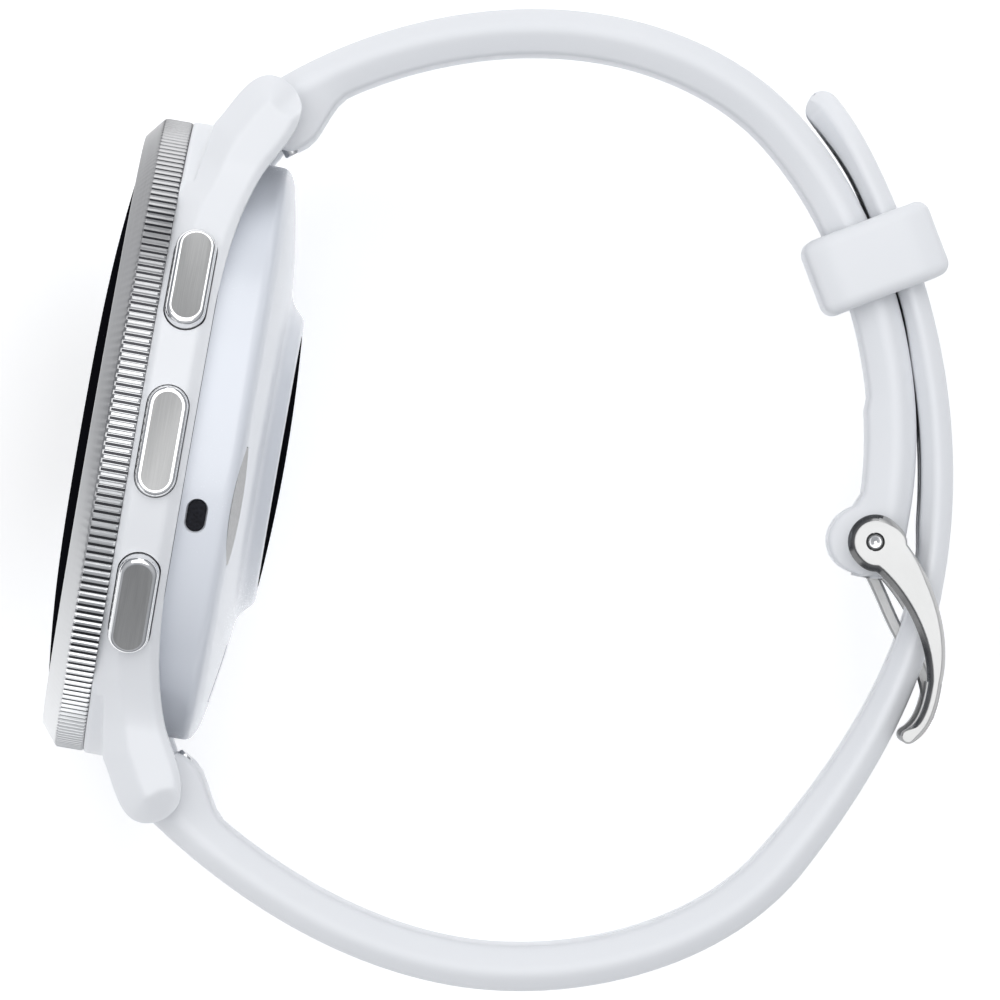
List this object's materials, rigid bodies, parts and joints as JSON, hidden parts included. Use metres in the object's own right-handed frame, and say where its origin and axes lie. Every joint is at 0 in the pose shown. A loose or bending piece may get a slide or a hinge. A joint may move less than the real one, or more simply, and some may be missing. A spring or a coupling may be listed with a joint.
{
  "type": "golf gps watch",
  "caption": "Round GPS sports watch with knurled steel bezel, three side buttons and a buckled silicone strap with keeper, pin buckle and quick-release spring bars.",
  "frame": {"origin": "centre of the display glass's flat front face", "axes": "+X from the display towards the wrist, +Y to 12 o'clock, +Z to 3 o'clock, where the buttons are"},
  "size_m": [0.0629, 0.0691, 0.0459],
  "materials": {
    "display_glass": "gloss black",
    "black_plastic": "matt",
    "black_rubber": "matt",
    "panel": "gloss",
    "flex": "satin",
    "polished_steel": "polished with knurled edge",
    "brushed_steel": "brushed with polished rim",
    "bare_steel": "satin",
    "white_polymer": "satin moulded",
    "back_polymer": "gloss",
    "circuit_board": "solder mask",
    "led": "clear resin",
    "diode": "gloss",
    "gold": "plated",
    "dark_plastic": "matt",
    "cell_wrap": "foil",
    "silicone": "soft satin"
  },
  "bodies": {
    "case": {"display_glass": "display_glass", "display_adhesive": "black_plastic", "display_panel": "panel", "display_flex": "flex", "bezel_ring": "polished_steel", "mid_case": "white_polymer", "case_back": "back_polymer", "back_gasket": "black_rubber", "case_screws": "bare_steel", "sensor_glass": "display_glass", "sensor_board": "circuit_board", "sensor_leds": "led", "sensor_diodes": "diode", "wrist_contact": "polished_steel", "charge_socket": "black_plastic", "charge_pins": "gold", "vent_port": "black_plastic", "inner_frame": "dark_plastic", "main_board": "circuit_board", "board_shields": "bare_steel", "button_switches": "dark_plastic", "battery": "cell_wrap", "vibration_motor": "bare_steel", "speaker": "black_plastic", "microphone": "gold", "gps_antenna": "gold", "spring_bar_6": "bare_steel", "bar_spring_6": "bare_steel", "strap_long": "silicone"},
    "top_button": {"button_top": "brushed_steel", "button_top_seal": "black_rubber", "button_top_clip": "bare_steel"},
    "middle_button": {"button_middle": "brushed_steel", "button_middle_seal": "black_rubber", "button_middle_clip": "bare_steel"},
    "bottom_button": {"button_bottom": "brushed_steel", "button_bottom_seal": "black_rubber", "button_bottom_clip": "bare_steel"},
    "short_strap": {"strap_short": "silicone", "buckle_pin": "bare_steel", "spring_bar_12": "bare_steel", "bar_spring_12": "bare_steel"},
    "release_12": {"release_knob_12": "bare_steel"},
    "release_6": {"release_knob_6": "bare_steel"},
    "keeper": {"keeper_loop": "silicone"},
    "frame": {"buckle_frame": "polished_steel"},
    "tongue": {"buckle_tongue": "polished_steel"}
  },
  "joints": [
    {"name": "press_top", "type": "slide", "parent": "case", "child": "top_button", "axis": [0, -0.509, -0.8607], "range_m": [0, 0.0004], "stiffness_N_per_m": 600, "springref_m": -0.0015},
    {"name": "press_middle", "type": "slide", "parent": "case", "child": "middle_button", "axis": [0, 0, -1], "range_m": [0, 0.0004], "stiffness_N_per_m": 600, "springref_m": -0.0015},
    {"name": "press_bottom", "type": "slide", "parent": "case", "child": "bottom_button", "axis": [0, 0.509, -0.8607], "range_m": [0, 0.0004], "stiffness_N_per_m": 600, "springref_m": -0.0015},
    {"name": "strap_swing", "type": "hinge", "parent": "case", "child": "short_strap", "pos_m": [0.0093, 0.0242, 0], "axis": [0, 0, 1], "range_deg": [-4, 4], "stiffness_Nm_per_rad": 0.6, "deforming": ["strap_long"]},
    {"name": "release_12_slide", "type": "slide", "parent": "short_strap", "child": "release_12", "axis": [0, 0, -1], "range_m": [0, 0.0013], "stiffness_N_per_m": 300, "springref_m": -0.001, "deforming": ["bar_spring_12"]},
    {"name": "release_6_slide", "type": "slide", "parent": "case", "child": "release_6", "axis": [0, 0, -1], "range_m": [0, 0.0013], "stiffness_N_per_m": 300, "springref_m": -0.001, "deforming": ["bar_spring_6"]},
    {"name": "keeper_slide", "type": "hinge", "parent": "short_strap", "child": "keeper", "pos_m": [0.02314, 0.00352, 0], "axis": [0, 0, 1], "range_deg": [-10, 5]},
    {"name": "buckle_hinge", "type": "hinge", "parent": "short_strap", "child": "frame", "pos_m": [0.05638, 0.00173, 0], "axis": [0, 0, 1], "range_deg": [0, 8]},
    {"name": "tongue_hinge", "type": "hinge", "parent": "frame", "child": "tongue", "pos_m": [0.05638, 0.00173, 0], "axis": [0, 0, 1], "range_deg": [0, 6]}
  ]
}
